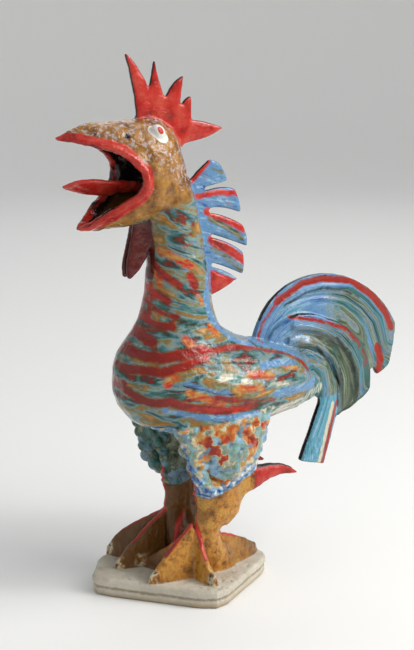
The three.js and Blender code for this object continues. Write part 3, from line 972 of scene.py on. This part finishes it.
def glaze():
    """Brushed glazes over one another, with some painted shade and a painted highlight, glossy on the
    bird and dry on the slab.
    """
    material = bpy.data.materials.new("brushed_glaze")
    n = Nodes(material)
    place = n.new("ShaderNodeTexCoord").outputs["Object"]
    flow = n.new("ShaderNodeAttribute", attribute_name="flow").outputs["Vector"]

    edge = n.noise(place, 190, detail=3, roughness=0.65)
    brushed = n.noise(flow, 0.62, detail=2.5, roughness=0.5, distortion=0.7)
    fine = n.noise(flow, 1.5, detail=3, roughness=0.55, distortion=0.5)
    broad = n.noise(place, 22, detail=2)
    grain = n.noise(place, 420, detail=3, roughness=0.6)

    neck = n.ramp(
        brushed,
        [
            (0.34, RED_DEEP),
            (0.40, GREEN_DEEP),
            (0.45, TEAL),
            (0.49, BLUE_GREY),
            (0.53, SAGE),
            (0.57, OLIVE),
            (0.62, OCHRE),
            (0.70, OCHRE_PALE),
        ],
    )
    neck = n.mix(n.band(fine, 0.54, 0.64, 0.4), neck, n.ramp(broad, [(0.42, TEAL_PALE), (0.60, SAGE)]))
    breast = n.ramp(
        brushed,
        [(0.36, GREEN_DEEP), (0.44, OLIVE), (0.50, BRICK), (0.55, OLIVE), (0.60, GREEN), (0.67, OCHRE)],
    )
    wing = n.ramp(
        brushed,
        [
            (0.34, TEAL),
            (0.42, BLUE_GREY),
            (0.46, CREAM),
            (0.50, BLUE_PALE),
            (0.535, OCHRE),
            (0.57, RED_LIGHT),
            (0.61, ORANGE),
            (0.67, WHITE),
        ],
    )
    wing = n.mix(n.band(fine, 0.55, 0.62, 0.8), wing, BLUE_PALE)
    tail = n.ramp(
        brushed,
        [
            (0.32, GREEN_DEEP),
            (0.41, TEAL),
            (0.46, BLUE),
            (0.50, OLIVE),
            (0.54, BLUE_GREY),
            (0.58, SAGE),
            (0.64, GREEN),
            (0.72, SAGE),
        ],
    )
    tail = n.mix(n.band(fine, 0.52, 0.60, 0.8), tail, n.ramp(broad, [(0.42, GREEN), (0.55, TEAL)]))
    tail_root = n.ramp(
        fine, [(0.32, BLUE_DEEP), (0.42, BLUE), (0.52, BLUE), (0.60, BLUE_PALE), (0.70, CYAN)]
    )
    dabs = n.noise(place, 110, detail=3, distortion=0.4)
    lump = n.math("MULTIPLY_ADD", n.field("curl"), 0.9)
    n.link(n.math("MULTIPLY", dabs, 0.7), lump.node.inputs[2])
    lump = n.math("SUBTRACT", lump, 0.3)
    thigh = n.ramp(
        lump,
        [
            (0.08, BRICK),
            (0.20, ORANGE),
            (0.30, OCHRE_PALE),
            (0.40, CREAM),
            (0.50, SAGE),
            (0.60, TEAL_PALE),
            (0.72, BLUE_PALE),
            (0.86, BLUE),
        ],
    )
    # Darker greens on the far thigh, partly glaze and partly painted shade
    far_thigh = n.ramp(
        lump, [(0.15, GREEN), (0.35, SAGE), (0.50, GREEN), (0.65, TEAL), (0.85, BLUE_GREY)]
    )
    ochre = n.ramp(
        n.noise(place, 75, detail=4, roughness=0.6),
        [(0.32, OCHRE_DEEP), (0.52, OCHRE), (0.75, OCHRE_PALE)],
    )
    legs = n.ramp(
        n.noise(place, 95, detail=6, roughness=0.75, distortion=0.3),
        [(0.35, OCHRE_DEEP), (0.43, OCHRE), (0.50, AMBER), (0.58, GOLD), (0.66, OCHRE)],
    )
    legs = n.mix(n.band(n.noise(place, 34, detail=4), 0.50, 0.68, 0.5), legs, OCHRE_DEEP)
    # Painted shade on the far leg: deep ochre mixed in on the side away from the lamps
    far_leg_painted_shade = n.math("MULTIPLY", n.cover(n.field("shade"), broad, 8.0, 10.0), 0.9)
    legs = n.mix(far_leg_painted_shade, legs, OCHRE_DEEP)
    red = n.ramp(
        n.noise(place, 60, detail=4, roughness=0.65), [(0.30, RED_DEEP), (0.45, RED), (0.70, RED_LIGHT)]
    )
    blue = n.ramp(
        fine,
        [(0.30, BLUE_DEEP), (0.40, BLUE), (0.56, BLUE), (0.66, BLUE_PALE), (0.76, BLUE_GREY)],
    )
    red = n.mix(n.cover(n.field("tail"), fine, 6.0, 6.0), red, BRICK)
    stripe = n.ramp(fine, [(0.38, RED_DEEP), (0.50, BRICK), (0.64, RED)])
    red = n.mix(n.cover(n.field("halo"), edge, 1.0, 1.0), red, stripe)
    # Red turns deep red on the breast, partly a darker glaze and partly painted shade on the side away
    # from the lamps
    red = n.mix(n.cover(n.field("breast"), broad, 16.0, 14.0), red, RED_DEEP)
    foam = n.ramp(
        n.noise(place, 150, detail=3),
        [(0.38, BLUE_DEEP), (0.46, BLUE), (0.54, BLUE_PALE), (0.62, WHITE)],
    )
    feather = n.ramp(fine, [(0.34, TEAL), (0.46, CYAN), (0.56, CYAN), (0.64, BLUE_PALE), (0.74, BLUE)])
    halo = n.ramp(fine, [(0.36, RED_DEEP), (0.5, OCHRE_DEEP), (0.62, OCHRE)])
    teal = n.ramp(fine, [(0.36, GREEN), (0.5, TEAL), (0.66, TEAL_PALE)])
    orange = n.ramp(fine, [(0.36, RED), (0.5, ORANGE), (0.64, OCHRE_PALE)])
    cream = n.ramp(fine, [(0.34, TEAL), (0.46, TEAL_PALE), (0.54, CREAM), (0.68, WHITE)])
    grey = n.ramp(fine, [(0.36, GREEN), (0.5, OLIVE), (0.62, BLUE_GREY)])
    claw = n.ramp(
        n.noise(place, 130, detail=4),
        [(0.38, OCHRE_DEEP), (0.47, OCHRE), (0.54, CREAM), (0.66, OCHRE_DEEP)],
    )
    clay = n.ramp(
        n.noise(place, 45, detail=5, roughness=0.7),
        [(0.28, CLAY_DARK), (0.36, CLAY), (0.66, CLAY_PALE)],
    )

    # Each layer of glaze and of painted shade: its field, its colour, how far its edge wanders and how
    # soft it is
    colour = neck
    layers = [
        ("breast", breast, 14.0, 8.0),
        ("wing", wing, 10.0, 4.0),
        ("tail", tail, 6.0, 4.0),
        ("tail_root", n.mix(n.cover(n.field("tail"), edge, 6.0, 4.0), colour, tail_root), 16.0, 8.0),
        ("cream", cream, 6.0, 2.5),
        # Painted shade: the thigh's creases between the pinched lumps are darkened with blue-grey
        ("thigh", n.mix(n.cover(n.field("painted_crease_shade"), edge, 3.0, 3.0), thigh, BLUE_GREY), 4.0, 1.5),
        ("hem", foam, 10.0, 3.0),
        ("far_thigh", far_thigh, 4.0, 2.0),
        ("leg", legs, 3.0, 1.5),
        ("head", ochre, 12.0, 5.0),
        ("halo", halo, 6.0, 3.0),
        ("orange", orange, 7.0, 3.0),
        ("teal", teal, 5.0, 2.2),
        ("blue", blue, 6.0, 2.0),
        ("hanging", feather, 3.0, 1.5),
        ("grey", grey, 4.0, 2.0),
        # Dark green tail lines, partly painted shade in the grooves between strands
        ("tail_dark_and_shade", GREEN_DEEP, 5.0, 2.5),
        ("claw", claw, 6.0, 3.0),
        ("red", red, 3.0, 1.8),
        ("pale_edge", CREAM, 1.6, 0.9),
        # Wattles in near-black maroon, partly their own dark red glaze and partly painted shade under
        # the chin
        ("wattle", MAROON_SHADED, 1.5, 1.0),
        # Black glaze lines and plate edges, and black painted shade inside the open beak
        ("black", BLACK, 1.8, 0.9),
        # Painted shade: deep ochre on the floor of the open beak
        ("painted_mouth_shade", OCHRE_DEEP, 6.0, 4.0),
        ("slab", n.mix(n.cover(n.field("rim"), broad, 6.0, 5.0), clay, CLAY_WARM), 0.6, 0.8),
    ]
    for name, layer, reach, softness in layers:
        colour = n.mix(n.cover(n.field(name), edge, reach, softness), colour, layer)
    # Painted highlight: pale lilac specks over the top of the head, where the lamps catch the bumpy
    # glaze, kept off the red
    highlight_mottle = n.noise(place, 260, detail=4, roughness=0.65)
    highlight_top = n.cover(n.field("head_top"), broad, 40, 16)
    painted_highlight = n.math("MULTIPLY", n.band(highlight_mottle, 0.49, 0.60, 0.62), highlight_top)
    under_red = n.cover(n.field("red"), edge, 3, 1)
    bare_head = n.math("SUBTRACT", n.cover(n.field("head"), edge, 3, 2), under_red)
    colour = n.mix(n.math("MULTIPLY", painted_highlight, bare_head, clamp=True), colour, LILAC_HIGHLIGHT)
    on_slab = n.cover(n.field("slab"), edge, 0.6, 0.8)
    seam = n.math("MULTIPLY", n.cover(n.field("seam"), edge, 3.6, 1.6), n.math("MULTIPLY", on_slab, 0.7))
    colour = n.mix(seam, colour, CLAY_DARK)
    thinned = n.math("MULTIPLY", n.band(grain, 0.56, 0.66, 0.35), n.math("SUBTRACT", 1.0, on_slab))
    colour = n.mix(thinned, colour, OCHRE_DEEP)
    # Painted shade: dark clay mixed into the slab's small holes
    pit_shade_amount = n.math("MULTIPLY", n.cover(n.field("painted_pit_shade"), edge, 1.0, 3.0), n.math("MULTIPLY", on_slab, 0.6))
    colour = n.mix(pit_shade_amount, colour, CLAY_DARK)
    for name, layer in (("eye", WHITE), ("pupil", RED), ("glint", BLACK)):
        colour = n.mix(n.cover(n.field(name), edge, 0.4, 0.7), colour, layer)

    on_leg = n.math("MULTIPLY", n.cover(n.field("leg"), edge, 3, 2), LEG_DRYNESS)
    dry = n.math("MULTIPLY_ADD", on_slab, SLAB_DRYNESS)
    dry.node.inputs[2].default_value = GLAZE_ROUGHNESS
    rough = n.math("ADD", dry, on_leg)
    ripples = n.noise(place, 120, detail=3, roughness=0.55)
    height = n.math("ADD", n.math("MULTIPLY", fine, 0.3), n.math("MULTIPLY", grain, 0.12))
    height = n.math("ADD", height, ripples)
    bump = n.new("ShaderNodeBump")
    calm = n.math("MULTIPLY_ADD", n.cover(n.field("plate"), edge, 3, 3), PLATE_CALM)
    calm.node.inputs[2].default_value = BUMP_STRENGTH
    n.link(calm, bump.inputs["Strength"])
    bump.inputs["Distance"].default_value = BUMP_DISTANCE
    n.link(height, bump.inputs["Height"])

    shader = n.new("ShaderNodeBsdfPrincipled")
    n.link(colour, shader.inputs["Base Color"])
    n.link(rough, shader.inputs["Roughness"])
    n.link(bump.outputs["Normal"], shader.inputs["Normal"])
    shader.inputs["IOR"].default_value = GLAZE_IOR
    output = n.new("ShaderNodeOutputMaterial")
    n.link(shader.outputs["BSDF"], output.inputs["Surface"])
    return material


# Scene


def plain(name, colour, roughness):
    """A plain matt material for the stage."""
    material = bpy.data.materials.new(name)
    n = Nodes(material)
    shader = n.new("ShaderNodeBsdfPrincipled")
    shader.inputs["Base Color"].default_value = (*colour, 1)
    shader.inputs["Roughness"].default_value = roughness
    output = n.new("ShaderNodeOutputMaterial")
    n.link(shader.outputs["BSDF"], output.inputs["Surface"])
    return material


# Stage, camera and lamps, in metres and degrees
FLOOR_RADIUS = 2.2
BEND_RADIUS = 0.8
WALL_HEIGHT = 1.7
BEND_STEPS = 12
ROUND_STEPS = 96
CAMERA_AZIMUTH = 62
CAMERA_ELEVATION = 14
CAMERA_DISTANCE = 1.6
CAMERA_TARGET = Vector((0, 0.0256, 0.2486))
CAMERA_LENS = 96.85
SENSOR_WIDTH = 36
LAMP_SPREAD = 150
ROOM_STRENGTH = 0.42

# Each lamp: azimuth, elevation, distance, size, power and colour
LAMPS = {
    "window": (135, 36, 1.9, (1.6, 1.6), 24, DAYLIGHT),
    "glint": (140, 34, 1.9, (0.3, 0.5), 5, DAYLIGHT),
    "front_fill": (-10, 25, 2.4, (1.6, 1.6), 2.2, SKYLIGHT),
    "back_fill": (235, 35, 2.2, (1.6, 1.6), 6, NEUTRAL),
    "top": (110, 80, 2.0, (1.2, 1.2), 2, NEUTRAL),
}


def studio_sweep():
    """A pale floor that curves up into a wall all round, so that every view has the same ground."""
    profile = []
    for step in range(BEND_STEPS + 1):
        turn = math.pi / 2 * step / BEND_STEPS
        radius = FLOOR_RADIUS + BEND_RADIUS * math.sin(turn)
        profile.append((radius, BEND_RADIUS * (1 - math.cos(turn))))
    profile.append((FLOOR_RADIUS + BEND_RADIUS, WALL_HEIGHT))
    verts = [(0, 0, 0)]
    for radius, height in profile:
        for step in range(ROUND_STEPS):
            turn = 2 * math.pi * step / ROUND_STEPS
            verts.append((radius * math.cos(turn), radius * math.sin(turn), height))
    faces = []
    for step in range(ROUND_STEPS):
        after = (step + 1) % ROUND_STEPS
        faces.append((0, 1 + step, 1 + after))
        for ring in range(len(profile) - 1):
            low = 1 + ring * ROUND_STEPS
            high = low + ROUND_STEPS
            faces.append((low + step, high + step, high + after, low + after))
    mesh = bpy.data.meshes.new("sweep")
    mesh.from_pydata(verts, [], faces)
    mesh.shade_smooth()
    sweep = bpy.data.objects.new("sweep", mesh)
    bpy.context.scene.collection.objects.link(sweep)
    mesh.materials.append(plain("pale_wall", STAGE_COLOUR, 0.9))
    return sweep


def direction(azimuth, elevation):
    """Unit vector from the sculpture; azimuth 0 is in front of the beak, 90 at its left."""
    a, e = math.radians(azimuth), math.radians(elevation)
    return Vector((math.sin(a) * math.cos(e), -math.cos(a) * math.cos(e), math.sin(e)))


def aim(obj, target):
    """Turns a lamp or camera to a point."""
    obj.rotation_euler = (target - obj.location).to_track_quat("-Z", "Y").to_euler()


def lamp(name, azimuth, elevation, distance, size, power, colour):
    """A soft rectangular lamp that looks at the rooster's middle."""
    data = bpy.data.lights.new(name, "AREA")
    data.shape = "RECTANGLE"
    data.size, data.size_y = size
    data.energy = power
    data.color = colour
    data.spread = math.radians(LAMP_SPREAD)
    obj = bpy.data.objects.new(name, data)
    obj.location = CAMERA_TARGET + distance * direction(azimuth, elevation)
    bpy.context.scene.collection.objects.link(obj)
    aim(obj, CAMERA_TARGET)


def camera():
    """The camera at the photo's angle."""
    data = bpy.data.cameras.new("camera")
    data.lens = CAMERA_LENS
    data.sensor_width = SENSOR_WIDTH
    obj = bpy.data.objects.new("camera", data)
    obj.location = CAMERA_TARGET + CAMERA_DISTANCE * direction(CAMERA_AZIMUTH, CAMERA_ELEVATION)
    bpy.context.scene.collection.objects.link(obj)
    aim(obj, CAMERA_TARGET)
    bpy.context.scene.camera = obj


def add_fields(obj):
    """Stores the glaze fields, painted shade and highlight among them, on the vertices, where the
    material reads them.
    """
    mesh = obj.data
    points = mesh_array(mesh, "co", 3) / MM
    normals = mesh_array(mesh, "normal", 3)
    fields = paint_fields(points, normals)
    thigh = fields["thigh"]
    middles = pinches(points, thigh)
    fields["curl"] = curl_shade(points, thigh, middles)
    # Painted shade: blue-grey darkening in the creases between the pinched lumps
    fields["painted_crease_shade"] = np.where(thigh > 0, 3 - 9 * curl_height(points, thigh, middles), FAR_BELOW)
    for name, values in fields.items():
        layer = mesh.attributes.new(name, "FLOAT", "POINT")
        layer.data.foreach_set("value", np.clip(values, FAR_BELOW, -FAR_BELOW).astype(np.float32))
    flow = mesh.attributes.new("flow", "FLOAT_VECTOR", "POINT")
    path = brush_flow(points, regions(points))
    flow.data.foreach_set("vector", path.astype(np.float32).ravel())


rooster = clay_form(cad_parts[NODE])
add_fields(rooster)
rooster.data.materials.clear()
rooster.data.materials.append(glaze())
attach(rooster, "root")
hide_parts(NODE)

studio_sweep()
camera()
for name, settings in LAMPS.items():
    lamp(name, *settings)

world = bpy.data.worlds.new("room")
world.use_nodes = True
background = world.node_tree.nodes["Background"]
background.inputs["Color"].default_value = (*ROOM_COLOUR, 1)
background.inputs["Strength"].default_value = ROOM_STRENGTH
bpy.context.scene.world = world
bpy.context.scene.view_settings.view_transform = "Standard"
